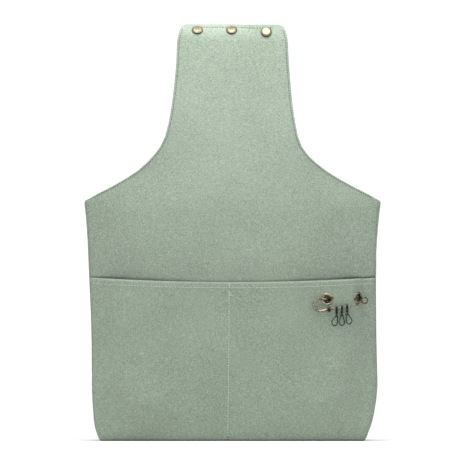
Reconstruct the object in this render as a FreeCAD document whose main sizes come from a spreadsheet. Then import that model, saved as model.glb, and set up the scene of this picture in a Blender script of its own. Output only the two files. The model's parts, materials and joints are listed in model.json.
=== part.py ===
# Standing canvas tool bag: an apron-shaped front and back whose top tabs snap together
# into one carrying handle, with a full-width divided front pocket, two eyelets,
# a large spring pin through them and three clip-on markers hanging on the pin.
#
# Frame: +X to the bag's right seen from the front, -Y the front, +Z up.
# Origin: centre of the flat base, on the surface it stands on.  Millimetres.
import FreeCAD, Part
import math
import os
import Sketcher
from FreeCAD import Placement, Rotation, Vector

doc = FreeCAD.newDocument("tool_bag")

# ---------------------------------------------------------------- sizes
SIZES = [
    # cloth
    ("canvas", 1.2), ("lining", 0.8), ("fold_gap", 0.3),
    # silhouette of the front and back, half widths and heights
    ("foot_half", 147.5), ("foot_round", 12), ("heel_half", 152.5), ("heel_height", 36),
    ("heel_round", 80), ("shoulder_half", 160), ("shoulder_height", 258),
    ("shoulder_round", 3), ("neck_half", 71.8), ("neck_height", 304.9),
    ("neck_round", 90), ("strap_half", 60), ("strap_height", 415), ("strap_round", 80),
    ("total_height", 450), ("tab_round", 16),
    # side profile
    ("depth_half", 55.8), ("upright", 200), ("chest_angle", 5), ("lean_angle", 16),
    ("fold_height", 318), ("meet_height", 420), ("tip_length", 20), ("tip_angle", 50),
    ("tip_angle_right", 30), ("twist_start", 10), ("twist_end", 24), ("snap_stack", 7.1),
    ("back_lip", 0.2), ("facing_start", 259),
    # base and gussets
    ("base_half", 130), ("corner_inner_round", 10.8),
    # pocket
    ("pocket_front", 68.1), ("pocket_side", 176.6), ("pocket_dip", 168.6),
    ("pocket_dip_round", 2000), ("pocket_floor", 1.5), ("pocket_left_step", 147),
    ("pocket_left_full", 134), ("pocket_right_full", 130.5),
    ("divide_at", 3.2), ("divide_half", 0.8), ("divide_slope", 9), ("pocket_soft", 5),
    ("pocket_edge", 156),
    # snaps
    ("snap_inset", 9.3), ("snap_left", 38), ("snap_middle", 1), ("snap_right", 36.5),
    ("cap_radius", 6), ("cap_dome", 2.3), ("socket_radius", 5.3), ("socket_depth", 2.4),
    ("stud_radius", 5.3), ("stud_base", 0.6), ("knob_radius", 2.5), ("knob_height", 2.0),
    ("post_radius", 5), ("post_depth", 1.0), ("shank_radius", 1.7),
    # eyelets
    ("eyelet_left_x", 102.1), ("eyelet_left_height", 153.0), ("eyelet_right_x", 134.8),
    ("eyelet_right_height", 154.3), ("eyelet_turn", 50),
    ("flange_radius", 6.7), ("hole_radius", 4.3), ("barrel_radius", 4.65),
    ("flange_depth", 1.0), ("washer_radius", 6.2), ("washer_depth", 0.6),
    # pin
    ("pin_plane", 72.3), ("hook_wire", 1.2), ("hook_round", 6.8), ("hook_x", 94.4),
    ("hook_height", 147.2), ("arm_wire", 0.5), ("hidden_wire", 0.7), ("coil_x", 142.5),
    ("coil_height", 151.8), ("coil_round", 3.2), ("hidden_y", 63.6), ("arm_tip_x", 104.1),
    ("arm_tip_height", 142.3), ("bead_x", 107.4), ("bead_radius", 1.5),
    ("clasp_x", 104.1), ("clasp_radius", 2.5), ("clasp_length", 3.2), ("clasp_grip", 1.4),
    # markers
    ("marker_first_x", 112.2), ("marker_pitch", 5.7), ("claw_outer", 2.5),
    ("claw_inner", 1.3), ("claw_drop", 0.5), ("claw_width", 2.4), ("claw_body_top", 3.1),
    ("claw_body_end", 6.8), ("cheek_front", 2.1), ("lever_width", 1.4), ("lever_play", 0.15),
    ("pivot_out", 1.5), ("pivot_drop", 3.9), ("rivet_radius", 0.45), ("rivet_head", 0.15),
    ("eye_drop", 8.1), ("eye_round", 1.5), ("eye_wire", 0.5), ("loop_wire", 0.52),
    ("loop_neck", 1.5), ("loop_round", 3.6), ("loop_neck_drop", 9.65), ("loop_drop", 16.1),
    ("loop_turn", 35), ("loop_fan", 24), ("slot_front", 3.6), ("slot_reach", 3.1),
    ("slot_low", 5.55), ("slot_rise", 2.65), ("clasp_slot", 1.7),
]
sheet = doc.addObject("Spreadsheet::Sheet", "sizes")
for row, (name, value) in enumerate(SIZES, start=1):
    sheet.set("A%d" % row, name)
    sheet.set("B%d" % row, str(value))
    sheet.setAlias("B%d" % row, name)
doc.recompute()


def size(expression):
    """Value of an expression written with the sheet's names."""
    if isinstance(expression, (int, float)):
        return float(expression)
    return float(sheet.evalExpression(expression))


def sized(name):
    """A sheet entry as it is written in an expression."""
    return "sizes." + name


# ---------------------------------------------------------------- sketch helpers
def new_body(label):
    body = doc.addObject("PartDesign::Body", label)
    body.Label = label
    return body


def new_sketch(body, name, plane, offset=None):
    """Empty sketch lying on one of the body's own origin planes."""
    sketch = body.newObject("Sketcher::SketchObject", name)
    face = next(f for f in body.Origin.OriginFeatures if f.Role == plane)
    sketch.AttachmentSupport = (face, [""])
    sketch.MapMode = "FlatFace"
    if offset is not None:
        sketch.AttachmentOffset = offset
    return sketch


def bind(sketch, kind, args, expression):
    """Adds a driving dimension and ties it to the sheet."""
    index = sketch.addConstraint(Sketcher.Constraint(kind, *args, size(expression)))
    sketch.setExpression("Constraints[%d]" % index, str(expression))


def outline(sketch, corners):
    """Closed outline; a corner is (across, up) or (across, up, rounding)."""
    spots = [Vector(size(c[0]), size(c[1]), 0) for c in corners]
    count = len(spots)
    rounds = [size(c[2]) if len(c) > 2 else 0.0 for c in corners]
    ends = []
    for i, spot in enumerate(spots):
        before = (spots[i - 1] - spot).normalize()
        after = (spots[(i + 1) % count] - spot).normalize()
        half = math.acos(max(-1.0, min(1.0, before.dot(after)))) / 2.0
        reach = rounds[i] / math.tan(half)
        ends.append((spot + before * reach, spot + after * reach))
    sides = []
    for i in range(count):
        line = Part.LineSegment(ends[i][1], ends[(i + 1) % count][0])
        sides.append(sketch.addGeometry(line))
    for i in range(count):
        last, following = sides[i - 1], sides[i]
        if rounds[i] > 0:
            enter, leave = ends[i]
            before = (spots[i - 1] - spots[i]).normalize()
            after = (spots[(i + 1) % count] - spots[i]).normalize()
            toward = (before + after).normalize()
            half = math.acos(max(-1.0, min(1.0, before.dot(after)))) / 2.0
            centre = spots[i] + toward * (rounds[i] / math.sin(half))
            middle = centre - toward * rounds[i]
            turn = before.cross(after).z
            arc = Part.Arc(enter, middle, leave)
            arc_index = sketch.addGeometry(arc)
            first, second = (1, 2) if turn < 0 else (2, 1)
            sketch.addConstraint(Sketcher.Constraint("Tangent", last, 2, arc_index, first))
            sketch.addConstraint(Sketcher.Constraint("Tangent", arc_index, second, following, 1))
            bind(sketch, "Radius", (arc_index,), corners[i][2])
            mark = sketch.addGeometry(Part.Point(spots[i]), True)
            sketch.addConstraint(Sketcher.Constraint("PointOnObject", mark, 1, last))
            sketch.addConstraint(Sketcher.Constraint("PointOnObject", mark, 1, following))
            bind(sketch, "DistanceX", (-1, 1, mark, 1), corners[i][0])
            bind(sketch, "DistanceY", (-1, 1, mark, 1), corners[i][1])
        else:
            sketch.addConstraint(Sketcher.Constraint("Coincident", last, 2, following, 1))
            bind(sketch, "DistanceX", (-1, 1, following, 1), corners[i][0])
            bind(sketch, "DistanceY", (-1, 1, following, 1), corners[i][1])


def circle(sketch, across, up, radius):
    shape = Part.Circle(Vector(size(across), size(up), 0), Vector(0, 0, 1), size(radius))
    index = sketch.addGeometry(shape)
    bind(sketch, "DistanceX", (-1, 1, index, 3), across)
    bind(sketch, "DistanceY", (-1, 1, index, 3), up)
    bind(sketch, "Radius", (index,), radius)


def pad(body, sketch, name, length, both_ways=False, reverse=False):
    feature = body.newObject("PartDesign::Pad", name)
    feature.Profile = sketch
    feature.Length = size(length)
    if not isinstance(length, (int, float)):
        feature.setExpression("Length", length)
    if both_ways:
        feature.SideType = "Symmetric"
    feature.Reversed = reverse
    body.Tip = feature
    doc.recompute()
    return feature


def cut_through(body, sketch, name):
    """Cuts the sketch right through the body both ways and checks it removed cloth."""
    volume = body.Shape.Volume
    feature = body.newObject("PartDesign::Pocket", name)
    feature.Profile = sketch
    feature.Type = "Length"
    feature.SideType = "Symmetric"
    feature.Length = 1200
    body.Tip = feature
    doc.recompute()
    if not body.Shape.Volume < volume:
        raise RuntimeError("cut removed nothing: " + body.Label + " " + name)
    return feature


def keep_inside(body, name, plane, corners):
    """Trims the body to an outline by cutting away everything round it."""
    sketch = new_sketch(body, name + "_outline", plane)
    outline(sketch, [("-600", "-600"), ("600", "-600"), ("600", "900"), ("-600", "900")])
    outline(sketch, corners)
    return cut_through(body, sketch, name)


def turned(body, name, profile):
    """Solid of revolution about the body's own Z axis."""
    sketch = new_sketch(body, name + "_profile", "XZ_Plane")
    outline(sketch, profile)
    feature = body.newObject("PartDesign::Revolution", name)
    feature.Profile = sketch
    feature.ReferenceAxis = (sketch, ["V_Axis"])
    feature.Angle = 360
    body.Tip = feature
    doc.recompute()
    return feature


# ---------------------------------------------------------------- shared outlines
def mirrored(corners):
    """Right-hand corners from bottom to top, closed with their mirror images."""
    left = [("-(" + c[0] + ")",) + tuple(c[1:]) for c in reversed(corners)]
    return list(corners) + left


SILHOUETTE = mirrored([
    (sized("foot_half"), "0", sized("foot_round")),
    (sized("heel_half"), sized("heel_height"), sized("heel_round")),
    (sized("shoulder_half"), sized("shoulder_height"), sized("shoulder_round")),
    (sized("neck_half"), sized("neck_height"), sized("neck_round")),
    (sized("strap_half"), sized("strap_height"), sized("strap_round")),
    (sized("strap_half"), "(sizes.total_height + 0.3)", sized("tab_round")),
])


def strip(start, steps, inset, thick, side):
    """Cloth seen edge-on: outer face from start through the steps (rise, angle from
    upright, positive toward the inside), shifted in by inset and given a thickness.
    Side -1 is the front of the bag and +1 the back."""
    across = [start[0]]
    up = [start[1]]
    for rise, angle in steps:
        across.append("%s + (%s) * tan(%s)" % (across[-1], rise, angle))
        up.append("%s + (%s)" % (up[-1], rise))

    def shifted(index, amount):
        angles = [s[1] for s in steps]
        if index == 0:
            first = second = angles[0]
        elif index == len(steps):
            first = second = angles[-1]
        else:
            first, second = angles[index - 1], angles[index]
        mid = "((%s) + (%s)) / 2" % (first, second)
        miter = "cos(((%s) - (%s)) / 2)" % (first, second)
        y = "%s + (%s) * cos(%s) / %s" % (across[index], amount, mid, miter)
        z = "%s - (%s) * sin(%s) / %s" % (up[index], amount, mid, miter)
        if side > 0:
            y = "-(%s)" % y
        return (y, z)

    outer = [shifted(i, inset) for i in range(len(steps) + 1)]
    inner_amount = "%s + %s" % (inset, thick)
    inner = [shifted(i, inner_amount) for i in range(len(steps), -1, -1)]
    return outer + inner


# outer face of the cloth at the fold of each tab, measured toward the inside
FOLD_Y = ("-sizes.depth_half + (sizes.shoulder_height - sizes.upright) * tan(sizes.chest_angle)"
          " + (sizes.fold_height - sizes.shoulder_height) * tan(sizes.lean_angle)")


# ---------------------------------------------------------------- front and back cloth
def make_panel(label, side):
    """Canvas of the front or back from the base seam up to the tab's fold."""
    body = new_body(label)
    sketch = new_sketch(body, label + "_side", "YZ_Plane")
    steps = [
        (sized("upright"), "0"),
        ("sizes.shoulder_height - sizes.upright", sized("chest_angle")),
        ("sizes.fold_height - sizes.fold_gap - sizes.shoulder_height", sized("lean_angle")),
    ]
    outline(sketch, strip(("-sizes.depth_half", "0"), steps, "0", sized("canvas"), side))
    pad(body, sketch, label + "_sheet", 400, both_ways=True)
    keep_inside(body, label + "_trim", "XZ_Plane", SILHOUETTE)
    return body


def make_facing(label, side):
    """Second layer sewn inside the shoulders, above the gussets."""
    body = new_body(label)
    sketch = new_sketch(body, label + "_side", "YZ_Plane")
    start_y = ("-sizes.depth_half"
               " + (sizes.shoulder_height - sizes.upright) * tan(sizes.chest_angle)"
               " + (sizes.facing_start - sizes.shoulder_height) * tan(sizes.lean_angle)")
    steps = [("sizes.fold_height - sizes.fold_gap - sizes.facing_start", sized("lean_angle"))]
    outline(sketch, strip((start_y, sized("facing_start")), steps,
                          sized("canvas"), sized("lining"), side))
    pad(body, sketch, label + "_sheet", 400, both_ways=True)
    keep_inside(body, label + "_trim", "XZ_Plane", SILHOUETTE)
    return body


def tab_section(side, tip_angle, inset, thick):
    """Edge-on section of a tab where its tip leans back by the given angle."""
    start = (FOLD_Y + " + sizes.fold_gap * tan(sizes.lean_angle)",
             "sizes.fold_height + sizes.fold_gap")
    climb = "sizes.meet_height - sizes.fold_height - sizes.fold_gap"
    if side < 0:
        top = "sizes.total_height - sizes.tip_length * cos(%s)" % tip_angle
        steps = [(climb, sized("lean_angle")),
                 (top + " - sizes.meet_height", "0"),
                 ("sizes.tip_length * cos(%s)" % tip_angle, tip_angle)]
        return strip(start, steps, inset, thick, side)
    # The back tab runs behind the front one, one snap's thickness away, so its
    # climb ends further in and its tip leans outward.
    meet = ("(-(%s) - (sizes.meet_height - sizes.fold_height) * tan(sizes.lean_angle)"
            " - sizes.snap_stack)" % FOLD_Y)
    reach = "(-(%s) + %s)" % (FOLD_Y, meet)
    angle = "(atan(%s / (sizes.meet_height - sizes.fold_height)) / (1 deg))" % reach
    top = ("sizes.total_height - sizes.tip_length * cos(%s)"
           " - sizes.snap_stack * tan(%s / 2)" % (tip_angle, tip_angle))
    steps = [(climb, angle),
             (top + " - sizes.meet_height", "0"),
             ("sizes.total_height + sizes.back_lip - (sizes.canvas + sizes.lining)"
              " * sin(%s) - (%s)" % (tip_angle, top), "-(%s)" % tip_angle)]
    start = (FOLD_Y + " + sizes.fold_gap * tan(%s)" % angle, start[1])
    return strip(start, steps, inset, thick, side)


SNAPS = [("left", "-sizes.snap_left", "tip_angle"),
         ("middle", "-sizes.snap_middle", "tip_angle"),
         ("right", "sizes.snap_right", "tip_angle_right")]


def snap_spot(tip):
    """Height and depth of a snap on the outer face of the front tab."""
    up = "sizes.total_height - sizes.snap_inset * cos(sizes.%s)" % tip
    along = "(sizes.tip_length - sizes.snap_inset) * sin(sizes.%s)" % tip
    deep = "%s + (sizes.meet_height - sizes.fold_height) * tan(sizes.lean_angle) + %s"
    return deep % (FOLD_Y, along), up


def snap_placement(across, tip, depth_in):
    """Local +Z points out of the front tab's outer face; depth_in is into the cloth."""
    deep, up = snap_spot(tip)
    lean = size(sized(tip))
    spin = Rotation(Vector(1, 0, 0), 90 - lean)
    spot = Vector(size(across), size(deep), size(up))
    return Placement(spot + spin.multVec(Vector(0, 0, -depth_in)), spin)


def make_tab(label, side, inset, thick):
    """One layer of a tab: lofted between edge-on sections so its right end leans less."""
    body = new_body(label)
    places = [("-90", "sizes.tip_angle"), ("sizes.twist_start", "sizes.tip_angle"),
              ("sizes.twist_end", "sizes.tip_angle_right"), ("90", "sizes.tip_angle_right")]
    sections = []
    for number, (across, tip) in enumerate(places):
        offset = Placement(Vector(0, 0, size(across)), Rotation())
        sketch = new_sketch(body, "%s_section_%d" % (label, number), "YZ_Plane", offset)
        if not across.lstrip("-").isdigit():
            sketch.setExpression("AttachmentOffset.Base.z", across)
        outline(sketch, tab_section(side, tip, inset, thick))
        sections.append(sketch)
    doc.recompute()
    loft = body.newObject("PartDesign::AdditiveLoft", label + "_sheet")
    loft.Profile = sections[0]
    loft.Sections = [(s, [""]) for s in sections[1:]]
    loft.Ruled = True
    body.Tip = loft
    doc.recompute()
    keep_inside(body, label + "_trim", "XZ_Plane", SILHOUETTE)
    for name, across, tip in SNAPS:
        place = snap_placement(across, tip, 0)
        sketch = new_sketch(body, "%s_hole_%s" % (label, name), "XY_Plane", place)
        shape = Part.Circle(Vector(0, 0, 0), Vector(0, 0, 1), size("sizes.shank_radius"))
        index = sketch.addGeometry(shape)
        sketch.addConstraint(Sketcher.Constraint("Coincident", index, 3, -1, 1))
        bind(sketch, "Radius", (index,), "sizes.shank_radius")
        volume = body.Shape.Volume
        hole = body.newObject("PartDesign::Pocket", "%s_shank_%s" % (label, name))
        hole.Profile = sketch
        hole.Type = "Length"
        hole.SideType = "Symmetric"
        hole.Length = 24
        body.Tip = hole
        doc.recompute()
        if not body.Shape.Volume < volume:
            raise RuntimeError("no snap hole in " + label)
    return body


make_panel("front_panel", -1)
make_panel("back_panel", 1)
make_facing("front_facing", -1)
make_facing("back_facing", 1)
make_tab("front_tab", -1, "0", sized("canvas"))
make_tab("front_tab_facing", -1, sized("canvas"), sized("lining"))
make_tab("back_tab", 1, "0", sized("canvas"))
make_tab("back_tab_facing", 1, sized("canvas"), sized("lining"))


# ---------------------------------------------------------------- gussets and base
def make_gusset(label, side):
    body = new_body(label)
    sign = "" if side > 0 else "-"
    corners = [
        ("sizes.base_half", "0"),
        ("sizes.foot_half", "0", "sizes.foot_round"),
        ("sizes.heel_half", "sizes.heel_height", "sizes.heel_round"),
        ("sizes.shoulder_half", "sizes.shoulder_height"),
        ("(sizes.shoulder_half - sizes.canvas)", "sizes.shoulder_height"),
        ("(sizes.heel_half - sizes.canvas)", "sizes.heel_height", "sizes.heel_round"),
        ("(sizes.foot_half - sizes.canvas)", "sizes.canvas", "sizes.corner_inner_round"),
        ("sizes.base_half", "sizes.canvas"),
    ]
    sketch = new_sketch(body, label + "_face", "XZ_Plane")
    outline(sketch, [(sign + c[0],) + tuple(c[1:]) for c in corners])
    pad(body, sketch, label + "_sheet", "2 * (sizes.depth_half - sizes.canvas)", both_ways=True)
    rise = "(sizes.shoulder_height - sizes.upright) * tan(sizes.chest_angle)"
    inner = "(sizes.depth_half - sizes.canvas)"
    # The sloping part of the panel is thicker measured level, so its inner face sits
    # a little further in than the upright part's.
    slope_in = "sizes.canvas / cos(sizes.chest_angle)"
    keep_inside(body, label + "_trim", "YZ_Plane", mirrored([
        (inner, "-1"),
        (inner, "sizes.upright - sizes.canvas * tan(sizes.chest_angle / 2)"),
        ("(sizes.depth_half - %s - %s)" % (rise, slope_in), "sizes.shoulder_height"),
        ("(sizes.depth_half - %s - %s)" % (rise, slope_in), "(sizes.shoulder_height + 5)"),
    ]))
    return body


make_gusset("gusset_right", 1)
make_gusset("gusset_left", -1)

base = new_body("base_panel")
base_sketch = new_sketch(base, "base_outline", "XY_Plane")
outline(base_sketch, mirrored([
    ("sizes.base_half", "-(sizes.depth_half - sizes.canvas)"),
    ("sizes.base_half", "(sizes.depth_half - sizes.canvas)"),
]))
pad(base, base_sketch, "base_sheet", "sizes.canvas")


# ---------------------------------------------------------------- front pocket
def make_pocket():
    """Pocket cloth with its turned-under floor, open at the top, stitched down the middle
    so it holds two pouches; its right end curves back to the side seam."""
    body = new_body("front_pocket")
    panel = "-sizes.depth_half"
    front = "-sizes.pocket_front"
    seam = "-(sizes.depth_half + sizes.canvas)"
    soft = "sizes.pocket_soft"
    full = "(sizes.pocket_front - sizes.depth_half - sizes.canvas)"
    step_right = "sizes.pocket_right_full + %s / tan(sizes.eyelet_turn)" % full
    plan = new_sketch(body, "pocket_plan", "XY_Plane")
    outline(plan, [
        ("-sizes.pocket_edge", panel),
        ("-sizes.pocket_edge", seam),
        ("-sizes.pocket_left_step", seam, soft),
        ("-sizes.pocket_left_full", front, soft),
        ("-sizes.divide_at - sizes.divide_half - sizes.divide_slope", front, soft),
        ("-sizes.divide_at - sizes.divide_half", seam),
        ("-sizes.divide_at + sizes.divide_half", seam),
        ("-sizes.divide_at + sizes.divide_half + sizes.divide_slope", front, soft),
        ("sizes.pocket_right_full", front, "1.5"),
        (step_right, seam, "1.5"),
        ("sizes.pocket_edge", seam),
        ("sizes.pocket_edge", panel),
    ])
    pad(body, plan, "pocket_block", "sizes.pocket_side + 2")
    inside = "-(sizes.pocket_front - sizes.canvas)"
    turn = "sizes.canvas * tan(sizes.eyelet_turn / 2)"
    deep = "(sizes.pocket_front - sizes.canvas - sizes.depth_half)"
    run_left = "(sizes.pocket_left_step - sizes.pocket_left_full) * %s / %s" % (deep, full)
    run_right = "%s / tan(sizes.eyelet_turn)" % deep
    run_mid = "sizes.divide_slope * %s / %s" % (deep, full)
    cavity = new_sketch(body, "pocket_cavities", "XY_Plane",
                        Placement(Vector(0, 0, size("sizes.pocket_floor")), Rotation()))
    cavity.setExpression("AttachmentOffset.Base.z", "sizes.pocket_floor")
    left_in = "-sizes.pocket_left_full + sizes.canvas * 0.5"
    mid_left = "-sizes.divide_at - sizes.divide_half - sizes.divide_slope - sizes.canvas * 0.4"
    mid_right = "-sizes.divide_at + sizes.divide_half + sizes.divide_slope + sizes.canvas * 0.4"
    right_in = "sizes.pocket_right_full - " + turn
    outline(cavity, [
        (left_in + " - " + run_left, panel),
        (left_in, inside, "sizes.pocket_soft - 1"),
        (mid_left, inside, "sizes.pocket_soft - 1"),
        (mid_left + " + " + run_mid, panel),
    ])
    outline(cavity, [
        (mid_right + " - " + run_mid, panel),
        (mid_right, inside, "sizes.pocket_soft - 1"),
        (right_in, inside, "1"),
        (right_in + " + " + run_right, panel),
    ])
    volume = body.Shape.Volume
    hollow = body.newObject("PartDesign::Pocket", "pocket_hollow")
    hollow.Profile = cavity
    hollow.Type = "Length"
    hollow.Length = 400
    hollow.Reversed = True
    body.Tip = hollow
    doc.recompute()
    if not body.Shape.Volume < 0.5 * volume:
        raise RuntimeError("pocket was not hollowed")
    keep_inside(body, "pocket_trim", "XZ_Plane", [
        ("-sizes.foot_half", "0", "sizes.foot_round"),
        ("sizes.foot_half", "0", "sizes.foot_round"),
        ("sizes.heel_half", "sizes.heel_height", "sizes.heel_round"),
        ("sizes.pocket_edge", "sizes.pocket_side"),
        ("0", "sizes.pocket_dip", "sizes.pocket_dip_round"),
        ("-sizes.pocket_edge", "sizes.pocket_side"),
        ("-sizes.heel_half", "sizes.heel_height", "sizes.heel_round"),
    ])
    left = new_sketch(body, "eyelet_hole_left_spot", "XZ_Plane")
    circle(left, "sizes.eyelet_left_x", "sizes.eyelet_left_height", "sizes.barrel_radius")
    cut_through(body, left, "eyelet_hole_left")
    spin = eyelet_placement("right").Rotation
    spot = eyelet_placement("right").Base
    right = new_sketch(body, "eyelet_hole_right_spot", "XY_Plane", Placement(spot, spin))
    circle(right, "0", "0", "sizes.barrel_radius")
    hole = body.newObject("PartDesign::Pocket", "eyelet_hole_right")
    hole.Profile = right
    hole.Type = "Length"
    hole.SideType = "Symmetric"
    hole.Length = 16
    body.Tip = hole
    doc.recompute()
    return body


def eyelet_placement(which):
    """Centre of the cloth's thickness at an eyelet; local +Z points out of the pocket."""
    if which == "left":
        deep = -size("sizes.pocket_front - sizes.canvas / 2")
        spot = Vector(size("sizes.eyelet_left_x"), deep, size("sizes.eyelet_left_height"))
        return Placement(spot, Rotation(Vector(1, 0, 0), 90))
    # the right eyelet sits on the slope where the cloth turns back to the side seam
    down = size("(sizes.eyelet_right_x - sizes.pocket_right_full) * tan(sizes.eyelet_turn)"
                " + sizes.canvas / 2 / cos(sizes.eyelet_turn)")
    spot = Vector(size("sizes.eyelet_right_x"), down - size("sizes.pocket_front"),
                  size("sizes.eyelet_right_height"))
    turn = Rotation(Vector(0, 0, 1), size("sizes.eyelet_turn"))
    return Placement(spot, turn.multiply(Rotation(Vector(1, 0, 0), 90)))


make_pocket()


# ---------------------------------------------------------------- snaps
def make_snap(name, across, tip):
    cloth = size("sizes.canvas + sizes.lining")
    body = new_body("snap_%s_cap" % name)
    turned(body, "cap_" + name, [
        ("0", "-sizes.canvas - sizes.lining + 0.1"),
        ("sizes.shank_radius - 0.1", "-sizes.canvas - sizes.lining + 0.1"),
        ("sizes.shank_radius - 0.1", "0.02"),
        ("sizes.cap_radius", "0.02"),
        ("sizes.cap_radius", "sizes.cap_dome * 0.45", "0.5"),
        ("sizes.cap_radius * 0.72", "sizes.cap_dome * 0.9", "2"),
        ("sizes.cap_radius * 0.3", "sizes.cap_dome"),
        ("sizes.cap_radius * 0.22", "sizes.cap_dome - 0.35"),
        ("0", "sizes.cap_dome - 0.35"),
    ])
    body.Placement = snap_placement(across, tip, 0)

    body = new_body("snap_%s_socket" % name)
    turned(body, "socket_" + name, [
        ("0", "-0.02"),
        ("sizes.socket_radius", "-0.02"),
        ("sizes.socket_radius", "-sizes.socket_depth", "0.5"),
        ("sizes.knob_radius + 0.4", "-sizes.socket_depth"),
        ("sizes.knob_radius + 0.4", "-0.5"),
        ("0", "-0.5"),
    ])
    body.Placement = snap_placement(across, tip, cloth)

    body = new_body("snap_%s_stud" % name)
    turned(body, "stud_" + name, [
        ("0", "0"),
        ("sizes.stud_radius", "0"),
        ("sizes.stud_radius", "sizes.stud_base"),
        ("sizes.knob_radius - 0.3", "sizes.stud_base"),
        ("sizes.knob_radius", "sizes.stud_base + sizes.knob_height - 0.6"),
        ("sizes.knob_radius - 0.5", "sizes.stud_base + sizes.knob_height - 0.3"),
        ("0", "sizes.stud_base + sizes.knob_height - 0.3"),
    ])
    # seat of the stud: outer face of the back tab's facing
    seat = size("sizes.snap_stack - sizes.canvas - sizes.lining")
    body.Placement = snap_placement(across, tip, seat - 0.02)

    body = new_body("snap_%s_post" % name)
    turned(body, "post_" + name, [
        ("0", "sizes.canvas + sizes.lining - 0.1"),
        ("sizes.shank_radius - 0.1", "sizes.canvas + sizes.lining - 0.1"),
        ("sizes.shank_radius - 0.1", "-0.02"),
        ("sizes.post_radius", "-0.02"),
        ("sizes.post_radius", "-sizes.post_depth", "0.45"),
        ("sizes.shank_radius", "-sizes.post_depth"),
        ("sizes.shank_radius - 0.5", "-0.4"),
        ("0", "-0.4"),
    ])
    body.Placement = snap_placement(across, tip, size("sizes.snap_stack"))


for snap_name, snap_across, snap_tip in SNAPS:
    make_snap(snap_name, snap_across, snap_tip)


# ---------------------------------------------------------------- eyelets
for which in ("left", "right"):
    rim = new_body("eyelet_" + which)
    turned(rim, "eyelet_ring_" + which, [
        ("sizes.hole_radius", "-sizes.canvas / 2 - sizes.washer_depth - 0.2"),
        ("sizes.barrel_radius - 0.05", "-sizes.canvas / 2 - sizes.washer_depth - 0.2"),
        ("sizes.barrel_radius - 0.05", "sizes.canvas / 2 + 0.02"),
        ("sizes.flange_radius", "sizes.canvas / 2 + 0.02"),
        ("sizes.flange_radius", "sizes.canvas / 2 + 0.45", "0.2"),
        ("sizes.flange_radius - 1.1", "sizes.canvas / 2 + sizes.flange_depth", "0.6"),
        ("sizes.hole_radius", "sizes.canvas / 2 + sizes.flange_depth", "0.4"),
    ])
    rim.Placement = eyelet_placement(which)
    backing = new_body("eyelet_%s_washer" % which)
    turned(backing, "washer_ring_" + which, [
        ("sizes.barrel_radius", "-sizes.canvas / 2 - sizes.washer_depth"),
        ("sizes.washer_radius", "-sizes.canvas / 2 - sizes.washer_depth"),
        ("sizes.washer_radius", "-sizes.canvas / 2 - 0.02"),
        ("sizes.barrel_radius", "-sizes.canvas / 2 - 0.02"),
    ])
    backing.Placement = eyelet_placement(which)


# ---------------------------------------------------------------- spring pin
def swept(label, wire, radius, closed=False):
    """Round wire along a path; neither a sketch pipe nor a primitive bends in space."""
    edge = wire.Edges[0]
    start = edge.valueAt(edge.FirstParameter)
    along = edge.tangentAt(edge.FirstParameter)
    ring = Part.Wire(Part.makeCircle(radius, start, along))
    solid = wire.makePipeShell([ring], True, True)
    if not closed:
        solid = Part.Solid(Part.Shell(solid.Faces)) if solid.ShapeType != "Solid" else solid
    piece = doc.addObject("Part::Feature", label)
    piece.Shape = solid
    piece.Label = label
    return piece


plane = -size("sizes.pin_plane")
hook_centre = Vector(size("sizes.hook_x"), plane, size("sizes.hook_height"))
hook_round = size("sizes.hook_round")


def on_hook(degrees):
    turn = math.radians(degrees)
    return (hook_centre.x + hook_round * math.cos(turn), plane,
            hook_centre.z + hook_round * math.sin(turn))


# The hook starts behind the cloth, comes forward through the left eyelet, turns down
# round its bend and ends on the straight that holds the clasp.
left_x = size("sizes.eyelet_left_x")
left_z = size("sizes.eyelet_left_height")
hidden_y = -size("sizes.hidden_y")
hook_start = 75
hook_end = Vector(size("sizes.clasp_x") - 0.35, plane, size("sizes.arm_tip_height") - 0.25)
to_end = hook_end - hook_centre
hook_leave = math.degrees(math.atan2(to_end.z, to_end.x) - math.acos(hook_round / to_end.Length))
hook_leave += 360
behind = Vector(left_x + 5.0, hidden_y, left_z)
bend_top = Vector(*on_hook(hook_start))
over_hook = Vector(-math.sin(math.radians(hook_start)), 0, math.cos(math.radians(hook_start)))
forward = Part.BezierCurve()
forward.setPoles([behind, behind - Vector(2.6, 0.1, 0), bend_top - over_hook * 4, bend_top])
hook_low = Vector(*on_hook(hook_leave))
hook_path = Part.Wire([
    forward.toShape(),
    Part.Arc(bend_top, Vector(*on_hook((hook_start + hook_leave) / 2)), hook_low).toShape(),
    Part.LineSegment(hook_low, hook_end).toShape(),
])
swept("pin_hook", hook_path, size("sizes.hook_wire"))

coil = Vector(size("sizes.coil_x"), 0, size("sizes.coil_height"))
coil_round = size("sizes.coil_round")


def on_coil(degrees, depth):
    turn = math.radians(degrees)
    return (coil.x + coil_round * math.cos(turn), depth,
            coil.z + coil_round * math.sin(turn))


right_spot = eyelet_placement("right").Base
# The hidden wire runs straight to the right eyelet, then curves forward to the coil.
rear = plane + 1.5
enter = 110
over_top = Vector(math.sin(math.radians(enter)), 0, -math.cos(math.radians(enter)))
hidden_from = Vector(left_x + 5.2, hidden_y, left_z)
coil_from = Vector(*on_coil(enter, rear))
along_x = (right_spot - hidden_from).normalize()
bend = Part.BezierCurve()
bend.setPoles([right_spot, right_spot + along_x * 3, coil_from - over_top * 4, coil_from])
turn = Part.Arc(coil_from, Vector(*on_coil(enter - 150, rear)), Vector(*on_coil(enter - 300, rear)))
wire_path = Part.Wire([Part.LineSegment(hidden_from, right_spot).toShape(),
                       bend.toShape(), turn.toShape()])
swept("pin_wire", wire_path, size("sizes.hidden_wire"))

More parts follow.
